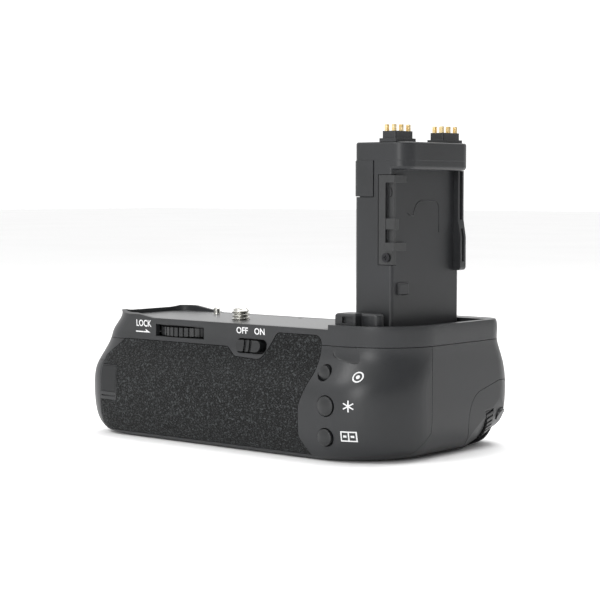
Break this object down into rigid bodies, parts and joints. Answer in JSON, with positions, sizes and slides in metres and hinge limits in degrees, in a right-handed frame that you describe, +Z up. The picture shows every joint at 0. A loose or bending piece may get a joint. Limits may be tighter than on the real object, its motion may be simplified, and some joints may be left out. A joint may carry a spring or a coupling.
{
  "type": "camera battery grip",
  "caption": "Battery grip that fills a camera's battery bay with a tall stem, with a sliding battery magazine, attaching screw and wheel, power switch, rear buttons and a release dial",
  "frame": {"origin": "on the table under the middle of the grip's overall footprint", "axes": "X runs along the grip to the right as seen from behind, Y towards the lens, Z up along the stem"},
  "size_m": [0.1407, 0.08, 0.1108],
  "materials": {
    "shell_plastic": "fine satin grain",
    "control_plastic": "satin",
    "grip_rubber": "wrinkled leather-like grain",
    "deck_metal": "satin paint",
    "steel": "brushed",
    "dark_metal": "dark satin",
    "brass": "turned",
    "contact_gold": "gold plated",
    "inner_plastic": "moulded",
    "circuit_board": "solder mask",
    "battery_case": "moulded",
    "ribbon_film": "amber film"
  },
  "bodies": {
    "housing": {"top_cover": "shell_plastic", "rear_cover": "shell_plastic", "front_cover": "shell_plastic", "stem_shell": "shell_plastic", "stem_cap": "shell_plastic", "release_cover": "shell_plastic", "hook_block": "shell_plastic", "door_clip": "shell_plastic", "contact_block_rear": "shell_plastic", "contact_block_front": "shell_plastic", "bottom_plate": "shell_plastic", "rear_rubber": "grip_rubber", "grip_rubber": "grip_rubber", "deck_plate": "deck_metal", "wheel_axle": "steel", "locating_pin": "steel", "tripod_socket": "steel", "case_screws": "steel", "stem_flange_screws": "steel", "stem_screw": "steel", "dial_axle": "steel", "chassis": "steel", "hinge_bracket": "dark_metal", "screw_bush": "brass", "contact_pins": "contact_gold", "terminal_springs": "contact_gold", "terminal_block": "inner_plastic", "ribbon_connector": "inner_plastic", "slide_switch": "inner_plastic", "shutter_switch": "inner_plastic", "button_switches": "inner_plastic", "main_board": "circuit_board", "release_board": "circuit_board", "button_boards": "circuit_board", "contact_board": "circuit_board", "contact_ribbon": "ribbon_film"},
    "wheel": {"thumb_wheel": "control_plastic"},
    "screw": {"tripod_screw": "steel", "screw_gear": "steel"},
    "slider": {"power_switch": "control_plastic"},
    "upper_key": {"upper_button": "control_plastic"},
    "middle_key": {"middle_button": "control_plastic"},
    "lower_key": {"lower_button": "control_plastic"},
    "shutter": {"shutter_button": "control_plastic"},
    "dial": {"finger_dial": "control_plastic"},
    "cord_flap": {"cord_cover": "grip_rubber"},
    "magazine": {"magazine_cap": "shell_plastic", "magazine_tray": "inner_plastic", "battery_pack_left": "battery_case", "battery_pack_right": "battery_case", "magazine_contacts": "contact_gold"},
    "latch": {"latch_knob": "control_plastic", "latch_arm": "steel"}
  },
  "joints": [
    {"name": "wheel_turn", "type": "hinge", "parent": "housing", "child": "wheel", "pos_m": [-0.028, -0.0183, 0.0385], "axis": [0, 0, 1], "continuous": true},
    {"name": "screw_turn", "type": "hinge", "parent": "housing", "child": "screw", "pos_m": [-0.0096, -0.0178, 0.038], "axis": [0, 0, 1], "continuous": true},
    {"name": "switch_slide", "type": "slide", "parent": "housing", "child": "slider", "axis": [1, 0, 0], "range_m": [0, 0.0022]},
    {"name": "upper_press", "type": "slide", "parent": "housing", "child": "upper_key", "axis": [0, 1, 0], "range_m": [0, 0.00035], "stiffness_N_per_m": 900},
    {"name": "middle_press", "type": "slide", "parent": "housing", "child": "middle_key", "axis": [0, 1, 0], "range_m": [0, 0.00035], "stiffness_N_per_m": 900},
    {"name": "lower_press", "type": "slide", "parent": "housing", "child": "lower_key", "axis": [0, 1, 0], "range_m": [0, 0.00035], "stiffness_N_per_m": 900},
    {"name": "shutter_press", "type": "slide", "parent": "housing", "child": "shutter", "axis": [-0.8193, -0.1798, 0.5445], "range_m": [0, 0.0008], "stiffness_N_per_m": 700},
    {"name": "dial_turn", "type": "hinge", "parent": "housing", "child": "dial", "pos_m": [0.06009, 0.02206, 0.01174], "axis": [-0.0375, 0.9643, 0.2621], "continuous": true},
    {"name": "cord_cover_open", "type": "hinge", "parent": "housing", "child": "cord_flap", "pos_m": [-0.05565, -0.039, 0.0159], "axis": [1, 0, 0], "range_deg": [0, 100]},
    {"name": "magazine_slide", "type": "slide", "parent": "housing", "child": "magazine", "axis": [-1, 0, 0], "range_m": [0, 0.118]},
    {"name": "latch_turn", "type": "hinge", "parent": "magazine", "child": "latch", "pos_m": [-0.0662, -0.0145, 0.0145], "axis": [1, 0, 0], "range_deg": [0, 90]}
  ],
  "couplings": [
    {"joint": "screw_turn", "follows": "wheel_turn", "ratio": -1.25}
  ]
}
